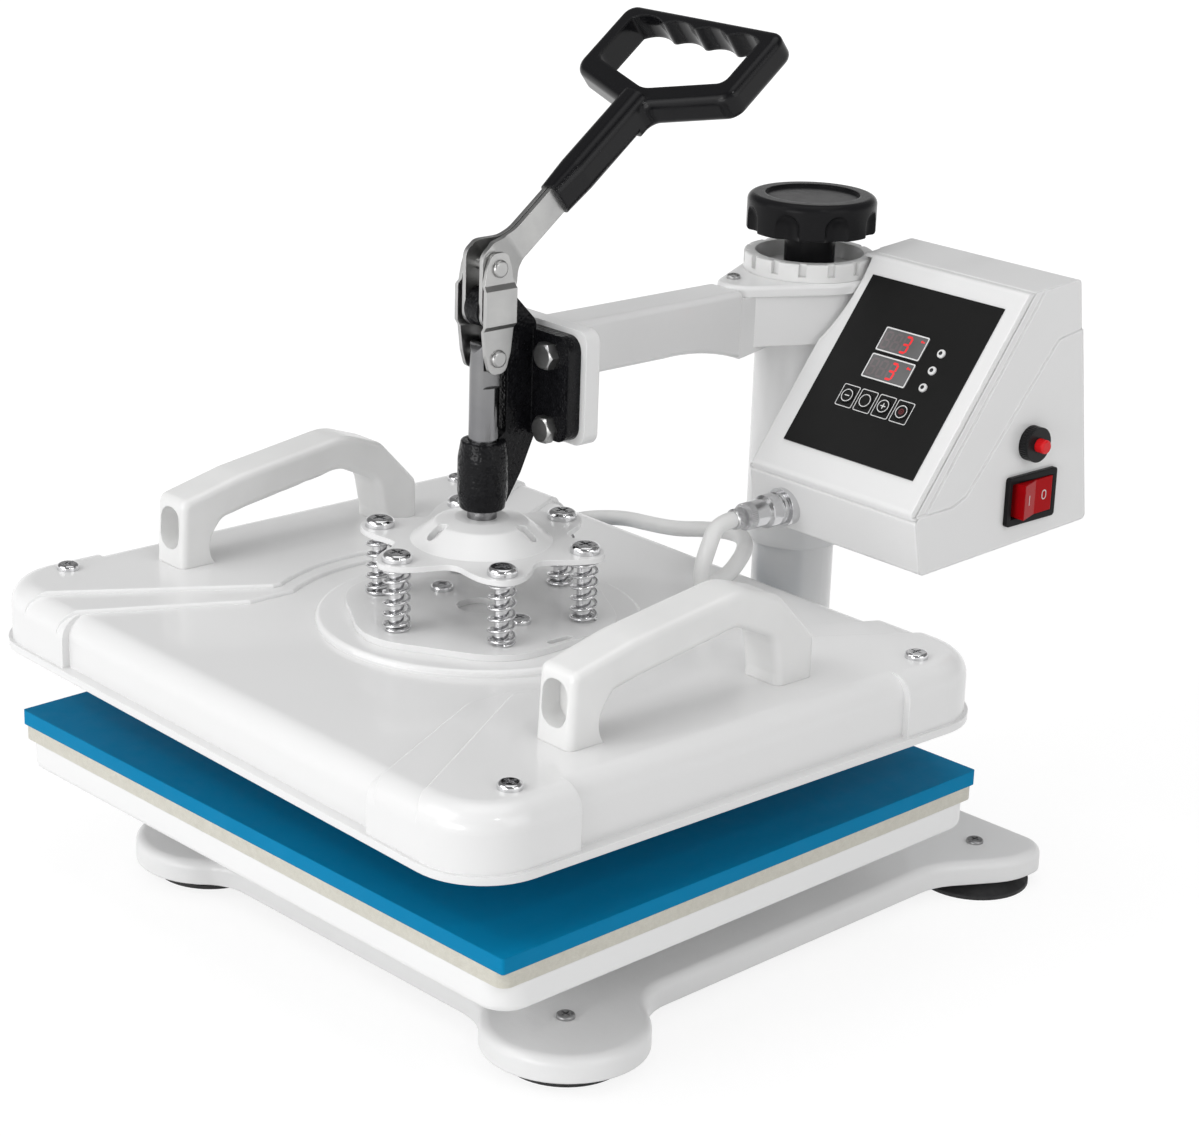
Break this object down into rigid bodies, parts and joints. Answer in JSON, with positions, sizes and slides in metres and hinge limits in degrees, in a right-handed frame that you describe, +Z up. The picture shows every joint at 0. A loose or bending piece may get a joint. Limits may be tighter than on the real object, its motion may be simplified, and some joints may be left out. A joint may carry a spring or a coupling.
{
  "type": "combo heat press",
  "caption": "Swing-away combo heat press with toggle lever, sprung heated platen, padded lower platen, height knob and control box.",
  "frame": {"origin": "on the table, under the middle of the base footprint, midway between the feet from side to side", "axes": "+X to the operator's right, +Y away from the operator towards the column, +Z up"},
  "size_m": [0.4202, 0.4877, 0.4629],
  "materials": {
    "white_paint": "gloss",
    "white_alloy": "gloss coated",
    "white_plastic": "gloss",
    "black_paint": "semi-gloss",
    "black_plastic": "satin",
    "black_gloss": "gloss",
    "black_rubber": "matte",
    "steel": "zinc plated",
    "chrome": "polished",
    "silicone": "matte",
    "felt": "felt",
    "aluminium": "coated",
    "wool": "matte",
    "board": "satin",
    "display": "dark lens",
    "lamp": "clear lens",
    "red_plastic": "gloss",
    "brass": "machined",
    "cord_sheath": "satin"
  },
  "bodies": {
    "base": {"base_casting": "white_paint", "rubber_feet": "black_rubber", "foot_screws": "steel", "support_posts": "white_paint", "support_bolts": "steel", "platen_frame": "white_paint", "platen_screws": "steel", "lower_platen": "white_alloy", "felt_pad": "felt", "silicone_pad": "silicone", "column_tube": "white_paint", "column_nut": "brass"},
    "lift": {"thrust_collar": "steel"},
    "knob": {"spindle": "steel", "adjust_knob": "black_plastic"},
    "head": {"swivel_sleeve": "white_paint", "swivel_housing": "white_paint", "housing_cap": "white_paint", "index_ring": "white_plastic", "arm": "white_paint", "mounting_plate": "white_paint", "clamp_casting": "black_paint", "clamp_bolts": "steel", "pivot_pin": "chrome", "box_shell": "white_paint", "box_rear_cover": "white_paint", "box_bracket": "white_paint", "control_board": "board", "panel_overlay": "black_plastic", "display_windows": "display", "led_lamps": "lamp", "rocker_bezel": "black_plastic", "reset_nut": "black_plastic", "mains_gland": "black_plastic", "aviation_socket": "chrome", "aviation_plug": "chrome", "cord": "cord_sheath", "head_screws": "steel"},
    "handle": {"handle_lever": "chrome", "handle_grip": "black_gloss", "lever_pin": "chrome"},
    "link": {"link_plates": "chrome"},
    "plunger": {"plunger_rod": "chrome", "star_plate": "white_paint"},
    "platen": {"spring_plate": "white_paint", "shoulder_screws": "chrome", "springs": "chrome", "heat_cover": "white_plastic", "cord_grommet": "white_plastic", "cover_screws": "steel", "cover_handles": "white_plastic", "heating_plate": "aluminium", "heating_element": "steel", "insulation": "wool"},
    "rocker": {"rocker": "red_plastic"},
    "reset": {"reset_button": "red_plastic"},
    "minus_key": {"key_minus": "black_plastic"},
    "set_key": {"key_set": "black_plastic"},
    "plus_key": {"key_plus": "black_plastic"},
    "start_key": {"key_start": "black_plastic"}
  },
  "joints": [
    {"name": "height_lift", "type": "slide", "parent": "base", "child": "lift", "axis": [0, 0, 1], "range_m": [0, 0.01]},
    {"name": "knob_turn", "type": "hinge", "parent": "lift", "child": "knob", "pos_m": [0, 0.151, 0.352], "axis": [0, 0, 1], "range_deg": [0, 1801]},
    {"name": "head_swing", "type": "hinge", "parent": "lift", "child": "head", "pos_m": [0, 0.151, 0.3], "axis": [0, 0, 1], "range_deg": [-180, 180]},
    {"name": "handle_turn", "type": "hinge", "parent": "head", "child": "handle", "pos_m": [-0.00888, -0.08013, 0.331], "axis": [0.9993, -0.0384, 0], "range_deg": [0, 128]},
    {"name": "link_turn", "type": "hinge", "parent": "handle", "child": "link", "pos_m": [-0.00888, -0.08013, 0.3525], "axis": [0.9993, -0.0384, 0], "range_deg": [-106.59, 0]},
    {"name": "press_slide", "type": "slide", "parent": "head", "child": "plunger", "axis": [0, 0, -1], "range_m": [0, 0.0316], "deforming": ["cord"]},
    {"name": "platen_float", "type": "slide", "parent": "plunger", "child": "platen", "axis": [0, 0, 1], "range_m": [0, 0.005], "stiffness_N_per_m": 20000, "springref_m": -0.006, "deforming": ["springs"]},
    {"name": "rocker_turn", "type": "hinge", "parent": "head", "child": "rocker", "pos_m": [0.1462, 0.1664, 0.223], "axis": [0, 0, 1], "range_deg": [-20, 0]},
    {"name": "reset_push", "type": "slide", "parent": "head", "child": "reset", "axis": [-0.9993, 0.0384, 0], "range_m": [0, 0.0025], "stiffness_N_per_m": 400, "springref_m": -0.001},
    {"name": "minus_press", "type": "slide", "parent": "head", "child": "minus_key", "axis": [0.0304, 0.792, -0.6097], "range_m": [0, 0.0005], "stiffness_N_per_m": 1500, "springref_m": -0.0005},
    {"name": "set_press", "type": "slide", "parent": "head", "child": "set_key", "axis": [0.0304, 0.792, -0.6097], "range_m": [0, 0.0005], "stiffness_N_per_m": 1500, "springref_m": -0.0005},
    {"name": "plus_press", "type": "slide", "parent": "head", "child": "plus_key", "axis": [0.0304, 0.792, -0.6097], "range_m": [0, 0.0005], "stiffness_N_per_m": 1500, "springref_m": -0.0005},
    {"name": "start_press", "type": "slide", "parent": "head", "child": "start_key", "axis": [0.0304, 0.792, -0.6097], "range_m": [0, 0.0005], "stiffness_N_per_m": 1500, "springref_m": -0.0005}
  ],
  "couplings": [
    {"joint": "knob_turn", "follows": "height_lift", "rad_per_m": 3141.6},
    {"joint": "link_turn", "follows": "handle_turn", "ratio": -0.83116},
    {"joint": "press_slide", "follows": "handle_turn", "m_per_rad": 0.014102}
  ]
}
